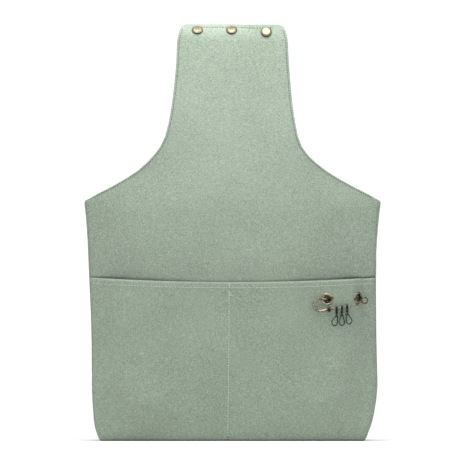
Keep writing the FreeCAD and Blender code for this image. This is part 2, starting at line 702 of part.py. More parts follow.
# The arm leaves its turn of the coil on the tangent that reaches the clasp.
arm_tip = Vector(size("sizes.arm_tip_x"), plane, size("sizes.arm_tip_height"))
reach = arm_tip - Vector(coil.x, plane, coil.z)
leave = math.degrees(math.atan2(reach.z, reach.x)) + 360
leave += math.degrees(math.acos(coil_round / reach.Length))
arm_start = Vector(*on_coil(leave, plane))
turn_start = leave + 285
arm_path = Part.Wire([
    Part.Arc(Vector(*on_coil(turn_start, plane)),
             Vector(*on_coil((turn_start + leave) / 2, plane)), arm_start).toShape(),
    Part.LineSegment(arm_start, arm_tip).toShape(),
])
swept("pin_arm", arm_path, size("sizes.arm_wire"))

arm_way = (arm_tip - arm_start).normalize()


def on_arm(across):
    return arm_start + arm_way * ((across - arm_start.x) / arm_way.x)


bead_at = on_arm(size("sizes.bead_x"))
ball = doc.addObject("Part::Sphere", "bead_ball")
ball.setExpression("Radius", "sizes.bead_radius")
bore = doc.addObject("Part::Cylinder", "bead_bore")
bore.setExpression("Radius", "sizes.arm_wire + 0.02")
bore.Height = 8
bore.Placement = Placement(Vector(0, 0, -4), Rotation())
bead = doc.addObject("Part::Cut", "pin_bead")
bead.Base = ball
bead.Tool = bore
bead.Label = "pin_bead"
bead.Placement = Placement(bead_at, Rotation(Vector(0, 0, 1), arm_way))

# Clasp: a crimped barrel on the hook's end, slotted underneath to take the arm's tip.
barrel = doc.addObject("Part::Cylinder", "clasp_barrel")
barrel.setExpression("Radius", "sizes.clasp_radius")
barrel.setExpression("Height", "sizes.clasp_length")
grip = doc.addObject("Part::Cylinder", "clasp_grip")
grip.setExpression("Radius", "sizes.hook_wire + 0.05")
grip.setExpression("Height", "sizes.clasp_grip + 0.5")
grip.Placement = Placement(Vector(0, 0, -0.5), Rotation())
slot = doc.addObject("Part::Box", "clasp_slot")
slot.setExpression("Length", "sizes.clasp_slot")
slot.setExpression("Width", "2 * sizes.clasp_radius + 1")
slot.setExpression("Height", "sizes.clasp_length")
inset = size("sizes.clasp_slot / 2")
slot.Placement = Placement(Vector(-inset, -inset, size("sizes.clasp_grip")), Rotation())
tools = doc.addObject("Part::MultiFuse", "clasp_tools")
tools.Shapes = [grip, slot]
clasp = doc.addObject("Part::Cut", "pin_clasp")
clasp.Base = barrel
clasp.Tool = tools
clasp.Label = "pin_clasp"
doc.recompute()
toward = (hook_end - hook_low).normalize()
clasp_from = hook_end - toward * (size("sizes.clasp_grip") - 0.1)
below = toward.cross(Vector(0, 1, 0)).normalize()
below = below if below.z < 0 else below * -1
clasp.Placement = Placement(clasp_from, Rotation(below.cross(toward), below, toward, "ZXY"))


# ---------------------------------------------------------------- markers
def make_marker(number):
    """Lobster clip over the arm: claw, lever on its rivet and a pear-shaped loop below."""
    across = size("sizes.marker_first_x") + (number - 1) * size("sizes.marker_pitch")
    spot = on_arm(across)
    label = "marker_%d_claw" % number
    body = new_body(label)
    sketch = new_sketch(body, "claw_%d_side" % number, "YZ_Plane")
    outline(sketch, [
        ("sizes.claw_outer", "sizes.claw_outer - sizes.claw_drop", "sizes.claw_outer - 0.2"),
        ("-sizes.claw_outer", "sizes.claw_outer - sizes.claw_drop", "sizes.claw_outer - 0.2"),
        ("-sizes.claw_outer", "-0.9"),
        ("-sizes.claw_inner", "-0.9"),
        ("-sizes.claw_inner", "sizes.claw_inner - sizes.claw_drop", "sizes.claw_inner - 0.1"),
        ("sizes.claw_inner", "sizes.claw_inner - sizes.claw_drop", "sizes.claw_inner - 0.1"),
        ("sizes.claw_inner", "-sizes.claw_body_top", "0.5"),
        ("-sizes.cheek_front", "-sizes.claw_body_top"),
        ("-sizes.cheek_front", "-sizes.claw_body_end + 1.1"),
        ("-1.2", "-sizes.claw_body_end", "0.5"),
        ("1.2", "-sizes.claw_body_end", "0.5"),
        ("sizes.claw_outer", "-sizes.claw_body_end + 1.8", "1"),
    ])
    pad(body, sketch, "claw_%d" % number, "sizes.claw_width", both_ways=True)
    eye_ring = doc.addObject("Part::Torus", "claw_%d_eye" % number)
    eye_ring.setExpression("Radius1", "sizes.eye_round")
    eye_ring.setExpression("Radius2", "sizes.eye_wire")
    eye_ring.Placement = Placement(Vector(0, 0, -size("sizes.eye_drop")),
                                   Rotation(Vector(0, 1, 0), 90))
    body.Label = label + "_plate"
    blank = doc.addObject("Part::Fuse", label + "_blank")
    blank.Base = body
    blank.Tool = eye_ring
    # The lever lies in a slot between two cheeks and turns on a rivet through them.
    width = size("sizes.lever_width + 2 * sizes.lever_play")
    slot = doc.addObject("Part::Box", "claw_%d_slot" % number)
    slot.setExpression("Length", "sizes.lever_width + 2 * sizes.lever_play")
    slot.setExpression("Width", "sizes.slot_reach")
    slot.setExpression("Height", "sizes.slot_rise")
    corner = Vector(-width / 2, -size("sizes.slot_front"), -size("sizes.slot_low"))
    slot.Placement = Placement(corner, Rotation())
    pivot = Vector(0, -size("sizes.pivot_out"), -size("sizes.pivot_drop"))
    half = size("sizes.claw_width / 2 + sizes.rivet_head")
    hole = doc.addObject("Part::Cylinder", "claw_%d_rivet_hole" % number)
    hole.setExpression("Radius", "sizes.rivet_radius + 0.02")
    hole.setExpression("Height", "sizes.claw_width + 2 * sizes.rivet_head")
    hole.Placement = Placement(pivot - Vector(half, 0, 0), Rotation(Vector(0, 1, 0), 90))
    tools = doc.addObject("Part::MultiFuse", "claw_%d_tools" % number)
    tools.Shapes = [slot, hole]
    whole = doc.addObject("Part::Cut", label)
    whole.Base = blank
    whole.Tool = tools
    whole.Label = label
    whole.Placement = Placement(spot, Rotation())

    rivet = doc.addObject("Part::Cylinder", "marker_%d_rivet" % number)
    rivet.setExpression("Radius", "sizes.rivet_radius")
    rivet.setExpression("Height", "sizes.claw_width + 2 * sizes.rivet_head")
    rivet.Label = "marker_%d_rivet" % number
    rivet.Placement = Placement(spot + pivot - Vector(half, 0, 0), Rotation(Vector(0, 1, 0), 90))

    lever = new_body("marker_%d_lever" % number)
    sketch = new_sketch(lever, "lever_%d_side" % number, "YZ_Plane")
    outline(sketch, [
        ("-sizes.claw_outer + 0.1", "-1.2"),
        ("-sizes.claw_outer + 0.1", "-3.2"),
        ("-3.1", "-4.6", "0.3"),
        ("-2.2", "-5.3", "0.3"),
        ("-0.8", "-5.3", "0.3"),
        ("-0.8", "-4.2"),
        ("-sizes.claw_inner", "-3.6"),
        ("-sizes.claw_inner", "-1.2"),
    ])
    pad(lever, sketch, "lever_%d" % number, "sizes.lever_width", both_ways=True)
    bore = new_sketch(lever, "lever_%d_bore_spot" % number, "YZ_Plane")
    circle(bore, "-sizes.pivot_out", "-sizes.pivot_drop", "sizes.rivet_radius + 0.05")
    cut_through(lever, bore, "lever_%d_bore" % number)
    lever.Placement = Placement(spot, Rotation())

    neck = size("sizes.loop_neck")
    big = size("sizes.loop_round")
    top_z = -size("sizes.loop_neck_drop")
    low_z = -size("sizes.loop_drop")
    lift = math.asin((big - neck) / (top_z - low_z))
    side = Vector(math.cos(lift), 0, math.sin(lift))
    mirror = Vector(-side.x, 0, side.z)
    top = Vector(0, 0, top_z)
    low = Vector(0, 0, low_z)
    path = Part.Wire([
        Part.Arc(low + side * big, low - Vector(0, 0, big), low + mirror * big).toShape(),
        Part.LineSegment(low + mirror * big, top + mirror * neck).toShape(),
        Part.Arc(top + mirror * neck, top + Vector(0, 0, neck), top + side * neck).toShape(),
        Part.LineSegment(top + side * neck, low + side * big).toShape(),
    ])
    loop = swept("marker_%d_loop" % number, path, size("sizes.loop_wire"), closed=True)
    # The middle loop pushes the outer ones apart; their outer sides come forward.
    fan = Placement(Vector(), Rotation(Vector(0, -1, 0), (number - 2) * size("sizes.loop_fan")), top)
    turn = size("sizes.loop_turn") * (-1 if number == 3 else 1)
    loop.Placement = Placement(spot, Rotation(Vector(0, 0, 1), turn)).multiply(fan)


for marker_number in (1, 2, 3):
    make_marker(marker_number)

doc.recompute()

# ---------------------------------------------------------------- check and write
NODES = [
    "front_panel", "back_panel", "front_facing", "back_facing", "front_tab",
    "front_tab_facing", "back_tab", "back_tab_facing", "gusset_right", "gusset_left",
    "base_panel", "front_pocket", "eyelet_left", "eyelet_left_washer", "eyelet_right",
    "eyelet_right_washer", "pin_hook", "pin_wire", "pin_arm", "pin_bead", "pin_clasp",
]
NODES += ["snap_%s_%s" % (n, p) for n in ("left", "middle", "right")
          for p in ("cap", "socket", "stud", "post")]
NODES += ["marker_%d_%s" % (n, p) for n in (1, 2, 3) for p in ("claw", "lever", "rivet", "loop")]

for thing in doc.Objects:
    if "Invalid" in thing.State or "Error" in thing.State:
        raise RuntimeError("object did not rebuild: " + thing.Name)
os.makedirs("parts", exist_ok=True)
for node in NODES:
    found = doc.getObjectsByLabel(node)
    if len(found) != 1:
        raise RuntimeError("label is not unique: " + node)
    shape = found[0].Shape
    if shape.isNull() or not shape.isValid() or len(shape.Solids) != 1:
        raise RuntimeError("bad shape: %s (%d solids)" % (node, len(shape.Solids)))
    shape.exportStep("parts/%s.step" % node)
    box = shape.BoundBox
    print("%-22s volume %9.1f  x %7.1f %7.1f  y %6.1f %6.1f  z %6.1f %6.1f"
          % (node, shape.Volume, box.XMin, box.XMax, box.YMin, box.YMax, box.ZMin, box.ZMax))
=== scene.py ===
# Standing canvas tool bag: cloth, stitching, metal and studio.  Metres, frame axes as the CAD part.
import bpy
import json
import math
import numpy as np
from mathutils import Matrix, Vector, noise

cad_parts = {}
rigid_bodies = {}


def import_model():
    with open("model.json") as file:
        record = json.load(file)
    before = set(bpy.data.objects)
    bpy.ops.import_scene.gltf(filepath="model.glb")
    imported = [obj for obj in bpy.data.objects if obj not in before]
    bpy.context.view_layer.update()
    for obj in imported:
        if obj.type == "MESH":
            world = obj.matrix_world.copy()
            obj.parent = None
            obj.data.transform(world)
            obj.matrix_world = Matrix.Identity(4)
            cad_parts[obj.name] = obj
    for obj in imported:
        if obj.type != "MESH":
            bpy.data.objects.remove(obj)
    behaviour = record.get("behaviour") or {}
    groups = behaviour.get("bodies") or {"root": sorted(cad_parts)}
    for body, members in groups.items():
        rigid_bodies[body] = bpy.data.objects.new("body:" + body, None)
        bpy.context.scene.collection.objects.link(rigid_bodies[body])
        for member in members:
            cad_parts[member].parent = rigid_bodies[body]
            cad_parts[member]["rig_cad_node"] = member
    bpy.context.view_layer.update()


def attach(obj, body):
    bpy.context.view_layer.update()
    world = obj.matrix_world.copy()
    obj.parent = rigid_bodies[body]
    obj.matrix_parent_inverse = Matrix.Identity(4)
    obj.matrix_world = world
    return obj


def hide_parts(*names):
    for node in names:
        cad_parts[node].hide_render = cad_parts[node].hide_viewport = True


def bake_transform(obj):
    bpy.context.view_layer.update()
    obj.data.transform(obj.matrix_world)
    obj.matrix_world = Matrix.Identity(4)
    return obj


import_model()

MM = 0.001

# ------------------------------------------------------------------ shape of the bag
# Half width of front and back at each height, millimetres.
EDGE = [
    (0, 141.2), (0.7, 142.2), (2, 143.2), (4, 144.3), (7, 145.3), (11, 146.4), (16, 147.9),
    (24, 149.4), (36, 151.2), (49, 152.4), (61, 152.9), (87, 153.0), (113, 152.9), (139, 153.2),
    (165, 153.7), (191, 154.5), (204, 154.8), (217, 155.5), (230, 156.5), (243, 157.7),
    (252, 158.9), (255, 159.2), (259.2, 159.3), (260.5, 157.0), (266.5, 146.2), (275, 129.6),
    (284, 114.0), (292, 102.0), (300, 92.8), (309, 84.4), (318, 77.5), (330, 72.0),
    (345, 68.2), (360, 65.6), (375, 63.6), (390, 61.9), (410, 60.2), (428, 59.6),
    (434, 59.0), (438, 58.2), (442, 57.2), (445.5, 55.8), (447.8, 54.0), (449.2, 51.8),
    (450, 48.0),
]
# The neck is cut a little deeper on the right, millimetres off the half width.
NECK_RIGHT = [(275, 0.0), (294, 1.6), (307, 3.6), (320, 3.0), (333, 1.9), (346, 1.2),
              (372, 0.6), (392, 0.0)]
# The standing bag leans a little to one side low down: sideways shift of its middle.
SHIFT = [(0, -0.6), (9, -0.8), (22, 0.1), (36, 1.1), (62, 1.8), (100, 1.5), (139, 0.8),
         (165, 0.1), (204, -0.5), (256, 0.0)]
TOP = 450.0
CLOTH = 1.5


def table(rows, z):
    return float(np.interp(z, [r[0] for r in rows], [r[1] for r in rows]))


# The right side stands a little fuller low down, millimetres.
FULL_RIGHT = [(0, 1.2), (10, 1.2), (60, 1.3), (95, 0.6), (185, 0.5), (230, 0.2), (258, 0.0)]


def half_width(z, right=False):
    """Half width of the cloth at height z."""
    return table(EDGE, z) + (table(FULL_RIGHT, z) - table(NECK_RIGHT, z) if right else 0.0)


def shift(z):
    return table(SHIFT, z)


def ease(a, b, t):
    t = min(max((t - a) / (b - a), 0.0), 1.0)
    return t * t * (3 - 2 * t)


def wave(x, y, z, scale, seed):
    """Smooth wandering value from -1 to 1."""
    return noise.noise(Vector((x / scale + seed * 7.3, y / scale - seed * 3.1, z / scale + seed)))


# ------------------------------------------------------------------ mesh helpers
def mesh_object(name, points, faces, material, smooth=True, uvs=None):
    mesh = bpy.data.meshes.new(name)
    mesh.from_pydata([tuple(p) for p in points], [], faces)
    mesh.validate()
    mesh.polygons.foreach_set("use_smooth", [smooth] * len(mesh.polygons))
    mesh.materials.append(material)
    obj = bpy.data.objects.new(name, mesh)
    bpy.context.collection.objects.link(obj)
    return obj


def grid_normals(grid):
    du = np.gradient(grid, axis=1)
    dv = np.gradient(grid, axis=0)
    n = np.cross(du, dv)
    n /= np.linalg.norm(n, axis=2, keepdims=True) + 1e-12
    return n


def closed_sheet(name, grid, thick, material, flip=False, swell=0.35):
    """Closed solid from a grid of points on the outer face: the inner face lies behind it
    and the rim is rounded over.  Rows run along axis 0 and columns along axis 1."""
    normal = grid_normals(grid) * (-1 if flip else 1)
    rows, cols = grid.shape[:2]
    thickness = thick if np.ndim(thick) else np.full((rows, cols), thick)
    inner = grid - normal * thickness[:, :, None]
    points = np.concatenate([grid.reshape(-1, 3), inner.reshape(-1, 3)])
    faces = []
    back = rows * cols

    def quad(a, b, c, d):
        faces.append((a, b, c, d) if not flip else (d, c, b, a))

    for i in range(rows - 1):
        for j in range(cols - 1):
            a = i * cols + j
            quad(a, a + 1, a + cols + 1, a + cols)
            quad(back + a + cols, back + a + cols + 1, back + a + 1, back + a)
    rim = ([(0, j) for j in range(cols)] + [(i, cols - 1) for i in range(1, rows)]
           + [(rows - 1, j) for j in range(cols - 2, -1, -1)] + [(i, 0) for i in range(rows - 2, 0, -1)])
    middle = []
    for k, (i, j) in enumerate(rim):
        i2, j2 = min(max(i, 1), rows - 2), min(max(j, 1), cols - 2)
        out = grid[i, j] - grid[i2, j2]
        out -= normal[i, j] * np.dot(out, normal[i, j])
        length = np.linalg.norm(out)
        out = out / length if length > 1e-9 else out
        half = thickness[i, j] / 2
        middle.append(grid[i, j] - normal[i, j] * half + out * half * swell * 2)
    start = len(points)
    points = np.concatenate([points, np.array(middle)])
    count = len(rim)
    for k in range(count):
        m = (k + 1) % count
        a = rim[k][0] * cols + rim[k][1]
        b = rim[m][0] * cols + rim[m][1]
        quad(a, start + k, start + m, b)
        quad(start + k, back + a, back + b, start + m)
    return mesh_object(name, points * MM, faces, material)


# ------------------------------------------------------------------ materials
def new_material(name):
    material = bpy.data.materials.new(name)
    material.use_nodes = True
    nodes = material.node_tree.nodes
    shader = nodes["Principled BSDF"]
    return material, nodes, material.node_tree.links, shader


def texture(nodes, links, kind, coord, **values):
    node = nodes.new(kind)
    for key, value in values.items():
        if key in node.inputs:
            node.inputs[key].default_value = value
        else:
            setattr(node, key, value)
    if coord is not None:
        links.new(coord, node.inputs["Vector"])
    return node


def ramp(nodes, links, source, low, high, a, b):
    node = nodes.new("ShaderNodeMapRange")
    node.inputs["From Min"].default_value = a
    node.inputs["From Max"].default_value = b
    node.inputs["To Min"].default_value = low
    node.inputs["To Max"].default_value = high
    links.new(source, node.inputs["Value"])
    return node.outputs["Result"]


def maths(nodes, links, operation, a, b):
    node = nodes.new("ShaderNodeMath")
    node.operation = operation
    for index, value in enumerate((a, b)):
        if isinstance(value, (int, float)):
            node.inputs[index].default_value = value
        else:
            links.new(value, node.inputs[index])
    return node.outputs[0]


def mix(nodes, links, factor, a, b, kind="MIX"):
    node = nodes.new("ShaderNodeMix")
    node.data_type = "RGBA"
    node.blend_type = kind
    if isinstance(factor, (int, float)):
        node.inputs["Factor"].default_value = factor
    else:
        links.new(factor, node.inputs["Factor"])
    for socket, value in (("A", a), ("B", b)):
        slot = [s for s in node.inputs if s.name == socket and s.type == "RGBA"][0]
        if isinstance(value, tuple):
            slot.default_value = value
        else:
            links.new(value, slot)
    return [s for s in node.outputs if s.type == "RGBA"][0]


def canvas_material(name, colour, dark, light):
    """Plain-weave cotton canvas: crossing threads, slubs, and broad uneven dye."""
    material, nodes, links, shader = new_material(name)
    coord = nodes.new("ShaderNodeTexCoord").outputs["Object"]
    split = nodes.new("ShaderNodeSeparateXYZ")
    links.new(coord, split.inputs[0])
    depth = maths(nodes, links, "MULTIPLY", split.outputs[1], 1.0)
    across = maths(nodes, links, "ADD", split.outputs[0], depth)
    threads = 2 * math.pi / 0.00105
    warp = maths(nodes, links, "SINE", maths(nodes, links, "MULTIPLY", across, threads), 0)
    weft = maths(nodes, links, "SINE", maths(nodes, links, "MULTIPLY", split.outputs[2], threads), 0)
    weave = maths(nodes, links, "MULTIPLY", warp, weft)
    streaks = []
    for stretch in ((620.0, 620.0, 1500.0), (1500.0, 1500.0, 620.0)):
        along = nodes.new("ShaderNodeMapping")
        along.inputs["Scale"].default_value = stretch
        links.new(coord, along.inputs["Vector"])
        streaks.append(texture(nodes, links, "ShaderNodeTexNoise", along.outputs[0],
                               Scale=1.0, Detail=1.0).outputs[0])
    slub = maths(nodes, links, "MULTIPLY", maths(nodes, links, "ADD", *streaks), 0.5)
    broad = texture(nodes, links, "ShaderNodeTexNoise", coord, Scale=16.0, Detail=4.0)
    tone = mix(nodes, links, ramp(nodes, links, broad.outputs[0], 0.0, 1.0, 0.35, 0.65), dark, light)
    speck = ramp(nodes, links, slub, 0.0, 1.0, 0.40, 0.60)
    tone = mix(nodes, links, maths(nodes, links, "MULTIPLY", speck, 0.5), tone, colour)
    shade = ramp(nodes, links, weave, 0.92, 1.06, -1.0, 1.0)
    for streak in streaks:
        shade = maths(nodes, links, "MULTIPLY", shade,
                      ramp(nodes, links, streak, 0.77, 1.23, 0.30, 0.70))
    gray = nodes.new("ShaderNodeCombineColor")
    for socket in gray.inputs:
        links.new(shade, socket)
    tone = mix(nodes, links, 1.0, tone, gray.outputs[0], "MULTIPLY")
    links.new(tone, shader.inputs["Base Color"])
    height = maths(nodes, links, "ADD", maths(nodes, links, "MULTIPLY", weave, 0.35),
                   maths(nodes, links, "MULTIPLY", slub, 1.3))
    bump = nodes.new("ShaderNodeBump")
    bump.inputs["Strength"].default_value = 0.55
    bump.inputs["Distance"].default_value = 0.00035
    links.new(height, bump.inputs["Height"])
    links.new(bump.outputs[0], shader.inputs["Normal"])
    shader.inputs["Roughness"].default_value = 0.88
    shader.inputs["Sheen Weight"].default_value = 0.18
    shader.inputs["Sheen Roughness"].default_value = 0.5
    shader.inputs["Specular IOR Level"].default_value = 0.25
    return material


def thread_material(name, colour):
    material, nodes, links, shader = new_material(name)
    coord = nodes.new("ShaderNodeTexCoord").outputs["Object"]
    fibre = texture(nodes, links, "ShaderNodeTexNoise", coord, Scale=2600.0, Detail=2.0)
    dark = tuple(c * 0.72 for c in colour[:3]) + (1,)
    tone = mix(nodes, links, ramp(nodes, links, fibre.outputs[0], 0.0, 1.0, 0.35, 0.65), dark, colour)
    links.new(tone, shader.inputs["Base Color"])
    shader.inputs["Roughness"].default_value = 0.7
    shader.inputs["Sheen Weight"].default_value = 0.2
    return material


def metal_material(name, colour, worn, roughness, scale=420.0, axis=None):
    """Plated metal with rubbed high spots and grime; with an axis given, painted shade darkens it where its
    surface turns away from that axis.
    """
    material, nodes, links, shader = new_material(name)
    coord = nodes.new("ShaderNodeTexCoord").outputs["Object"]
    patches = texture(nodes, links, "ShaderNodeTexNoise", coord, Scale=scale, Detail=5.0)
    fine = texture(nodes, links, "ShaderNodeTexNoise", coord, Scale=scale * 7, Detail=2.0)
    factor = ramp(nodes, links, patches.outputs[0], 0.0, 1.0, 0.42, 0.68)
    tone = mix(nodes, links, factor, colour, worn)
    if axis is not None:
        # painted shade: the colour darkens where the surface normal turns away from the axis, standing in for
        # the shade along rims and outlines
        facing = nodes.new("ShaderNodeVectorMath")
        facing.operation = "DOT_PRODUCT"
        facing.inputs[1].default_value = axis
        links.new(nodes.new("ShaderNodeNewGeometry").outputs["Normal"], facing.inputs[0])
        painted_rim_shade = ramp(nodes, links, facing.outputs["Value"], 0.0, 1.0, 0.30, 0.72)
        tone = mix(nodes, links, painted_rim_shade, tuple(c * 0.2 for c in colour[:3]) + (1,), tone)
    links.new(tone, shader.inputs["Base Color"])
    rough = ramp(nodes, links, fine.outputs[0], roughness - 0.08, roughness + 0.14, 0.3, 0.7)
    links.new(rough, shader.inputs["Roughness"])
    shader.inputs["Metallic"].default_value = 1.0
    bump = nodes.new("ShaderNodeBump")
    bump.inputs["Strength"].default_value = 0.25
    bump.inputs["Distance"].default_value = 0.0001
    links.new(fine.outputs[0], bump.inputs["Height"])
    links.new(bump.outputs[0], shader.inputs["Normal"])
    return material


CANVAS = canvas_material("sage_canvas", (0.196, 0.2395, 0.189, 1), (0.184, 0.225, 0.177, 1),
                         (0.208, 0.254, 0.201, 1))
POCKET = canvas_material("sage_pocket", (0.205, 0.2520, 0.198, 1), (0.192, 0.237, 0.185, 1),
                         (0.218, 0.267, 0.211, 1))
EDGE_THREAD = thread_material("edge_thread", (0.055, 0.066, 0.068, 1))
THREAD = thread_material("sage_thread", (0.37, 0.45, 0.38, 1))
DIVIDER_THREAD = thread_material("divider_thread", (0.42, 0.56, 0.46, 1))
# The brass, wire and cap finishes get painted rim shade through their axis.
BRASS = metal_material("antique_brass", (0.085, 0.068, 0.042, 1), (0.48, 0.41, 0.27, 1), 0.30, 300.0,
                       axis=(0.0, -0.94, 0.34))
WIRE = metal_material("wire_brass", (0.065, 0.050, 0.030, 1), (0.34, 0.28, 0.18, 1), 0.32, 300.0,
                      axis=(0.0, -0.94, 0.34))
CAPS = metal_material("cap_brass", (0.15, 0.13, 0.085, 1), (0.235, 0.21, 0.145, 1), 0.42, 120.0,
                      axis=(0.0, -0.77, 0.64))
GUNMETAL = metal_material("gunmetal", (0.012, 0.015, 0.013, 1), (0.045, 0.054, 0.048, 1), 0.32)
COPPER = metal_material("copper_bead", (0.22, 0.13, 0.10, 1), (0.31, 0.20, 0.16, 1), 0.38)

# ------------------------------------------------------------------ side profile of the front
DEPTH = 55.8
LEAN = [(0, -55.8), (200, -55.8), (258, -50.73), (318, -33.52), (380, -15.74), (420, -5.77),
        (440, -0.78)]
TAB_LEAN = 14.0


def lean_depth(z):
    """Depth of the front cloth's outer face up to where the tabs meet, bends softened."""
    zs, ys = [p[0] for p in LEAN], [p[1] for p in LEAN]
    total = 0.0
    for step in range(-6, 7):
        total += float(np.interp(z + step * 2.5, zs, ys))
    return total / 13


def tip_angle(x):
    """How far the tab's tip leans back, in degrees: less at its right end."""
    return 50.0 - 20.0 * ease(5.0, 30.0, x)


def tab_start(x, side):
    """Lean and depth of a tab where both meet, and its length from there to its bend."""
    angle = math.radians(tip_angle(x))
    corner = TOP - 20.0 * math.cos(angle)
    if side > 0:
        return 0.0, 2.83, corner - 7.1 * math.tan(angle / 2) - 420.0
    first = math.radians(TAB_LEAN)
    # where the leaning cloth meets the plane the snaps lie on
    high = (-4.27 + 5.77 - (corner - 420.0) * math.tan(angle)) / (math.tan(first) - math.tan(angle))
    return first, -5.77, high / math.cos(first)


def tab_point(length, x, side, inset=0.0):
    """Point on a tab above the height where both meet; length is along the cloth, which
    rises straight, turns over a small radius and leans back to its tip."""
    first, y0, rise = tab_start(x, side)
    last = math.radians(tip_angle(x))
    turn = 7.0
    straight = rise - turn
    bent = min(max((length - straight) / (2 * turn), 0.0), 1.0)
    y = math.sin(first) * min(length, straight)
    z = math.cos(first) * min(length, straight)
    steps = 8
    for k in range(steps):
        mid = first + (last - first) * bent * (k + 0.5) / steps
        y += math.sin(mid) * 2 * turn * bent / steps
        z += math.cos(mid) * 2 * turn * bent / steps
    rest = max(length - straight - 2 * turn, 0.0)
    y += math.sin(last) * rest
    z += math.cos(last) * rest
    return y0 + y, 420.0 + z, first + (last - first) * bent


def tab_length(x, side):
    """Length of the tab from the meeting height to its tip."""
    angle = math.radians(tip_angle(x))
    first, y0, rise = tab_start(x, side)
    corner = 420.0 + rise * math.cos(first)
    top = TOP if side < 0 else TOP + 0.2 - 2.0 * math.sin(angle)
    return rise + (top - corner) / math.cos(angle)


# ------------------------------------------------------------------ front and back cloth
HEM_SIDE = 176.4
HEM_DIP = 4.9
ROWS_LOW = ([0, 0.7, 2, 4, 7, 11, 16, 22] + list(np.arange(30, 165, 5.0))
            + list(np.arange(166, 184, 0.75)) + list(np.arange(185, 250, 5.0))
            + [250, 253, 256, 258, 259.2, 260.5, 262.5, 264.5]
            + list(np.arange(267, 330, 2.5)) + list(np.arange(331, 416, 3.5)) + [417.5])
COLS = np.concatenate([[-1.0, -0.994, -0.984, -0.97], np.linspace(-0.95, 0.95, 77),
                       [0.97, 0.984, 0.994, 1.0]])


def belly(x, z):
    """How far the filled bag pushes its front or back cloth outward."""
    across = 1.0 - ease(45.0, 150.0, abs(x))
    return 8.0 * across * ease(-10.0, 90.0, z) * (1.0 - ease(165.0, 300.0, z))


def sag(x, z, side):
    """Slow unevenness of standing cloth: fuller low down, drawn in at seams."""
    w = half_width(min(z, 430))
    near = 1.0 - ease(0.86, 1.0, abs(x) / w)
    low = ease(2.0, 40.0, z) * (1.0 - ease(300.0, 400.0, z))
    soft = 1.5 * wave(x, side * 40, z, 95.0, 2 + side) + 0.6 * wave(x, side * 40, z, 34.0, 5)
    drawn = 0.45 * wave(x * 1.6, side * 30, z * 0.35, 16.0, 9) * (1 - ease(0.0, 30.0, abs(z - 262)))
    return (soft + drawn) * near * low


def hem_height(x):
    """Top of the front pocket, dipping toward the middle."""
    return HEM_SIDE - HEM_DIP * (1 - (x / 155.0) ** 2)


def tucked(x, z):
    """The filled bag swells over the pocket's hem, so the cloth tucks in behind it."""
    deep = 0.7 + 2.4 * ease(105.0, 145.0, x) + 0.9 * ease(105.0, 145.0, -x)
    return deep * math.exp(-((z - hem_height(x) - 0.1) / 1.3) ** 2)


def cloth_grid(side):
    """Outer face of the front (side -1) or back (+1) cloth, base seam to tab tip."""
    rows = []
    for z in ROWS_LOW:
        row = []
        w = half_width(z)
        for u in COLS:
            x = u * half_width(z, u > 0) + shift(z)
            depth = lean_depth(z)
            if side > 0 and z > 258:
                # the back tab climbs a little less steeply, to end behind the front one
                depth += (-2.83 + 5.77) * ease(318.0, 420.0, z)
            y = depth
            foot = 6.0
            if z < foot:
                y += foot - math.sqrt(max(foot ** 2 - (foot - z) ** 2, 0.0))
            if z < 264:
                lip = 7.0 * (1.0 - ease(250.0, 264.0, z))
                inward = w * (1 - abs(u))
                if lip > 0 and inward < lip:
                    y += 0.40 * (lip - math.sqrt(max(lip ** 2 - (lip - inward) ** 2, 0.0)))
            y -= sag(x, z, side) + belly(x, z)
            if side < 0:
                y += tucked(x, z)
            row.append((x, -y if side > 0 else y, z))
        rows.append(row)
    steps = 26
    for k in range(steps + 1):
        row = []
        for u in COLS:
            full = tab_length(u * 60.0, side)
            length = 2.0 + (full - 2.0) * (k / steps) ** 0.9 if k else 0.8
            y, z, angle = tab_point(length, u * 60.0, side)
            row.append((u * half_width(min(z, TOP)), y, z))
        rows.append(row)
    return np.array(rows)


front_grid = cloth_grid(-1)
back_grid = cloth_grid(1)
thick_front = np.full(front_grid.shape[:2], CLOTH)
for i, row in enumerate(front_grid):
    thick_front[i, :] = 1.3 + 0.6 * ease(255.0, 275.0, row[0][2])
front_cloth = closed_sheet("front_cloth", front_grid, thick_front, CANVAS, flip=False)
back_cloth = closed_sheet("back_cloth", back_grid, thick_front, CANVAS, flip=True)

# ------------------------------------------------------------------ gussets and base, one strip
def strip_path():
    """Outline the strip follows: down the left side, under the base and up the right."""
    side = [(half_width(z), z) for z in
            [258, 255, 250, 244, 236] + list(np.arange(228, 36, -8.0)) + [30, 24, 16, 11, 7, 4, 2, 0.7, 0.0]]
    left = [(-w, z) for w, z in side]
    base = [(x, 0.0) for x in np.linspace(-138, 138, 47)]
    right = [(half_width(z, True), z) for w, z in reversed(side)]
    return left + base + right


def gusset_grid():
    rows = []
    path = strip_path()
    for x, z in path:
        row = []
        depth = -lean_depth(z) - 1.6
        for v in np.linspace(-1, 1, 29):
            side = 1 if x > 0 else -1
            on_side = ease(0.0, 24.0, z)
            belly = (1 - v * v)
            out = -belly * (2.5 * ease(20, 90, z) + 1.0 * ease(200, 258, z)) * on_side
            out += 0.9 * wave(v * 50, side * 60, z, 70.0, 4) * belly * on_side
            out += 0.6 * ease(0, 20, z)
            lift = 0.35 + 0.5 * belly * (1 - ease(0, 3, z)) * (0.5 + 0.5 * wave(x, v * 40, 0, 60.0, 6))
            lift *= 1 - ease(0.0, 6.0, z)
            dip = -2.5 * belly * ease(200, 258, z)
            inset = 5.0 * (1 - ease(0, 5, z))
            row.append((x + shift(z) + side * out * (1 if z > 0.4 else 0), v * (depth - inset),
                        z + lift + dip))
        rows.append(row)
    return np.array(rows)


strip = gusset_grid()
gusset = closed_sheet("gusset_strip", strip, 1.3, CANVAS, flip=False)

# ------------------------------------------------------------------ front pocket
POCKET_FULL = 12.3
DIVIDE = -3.2


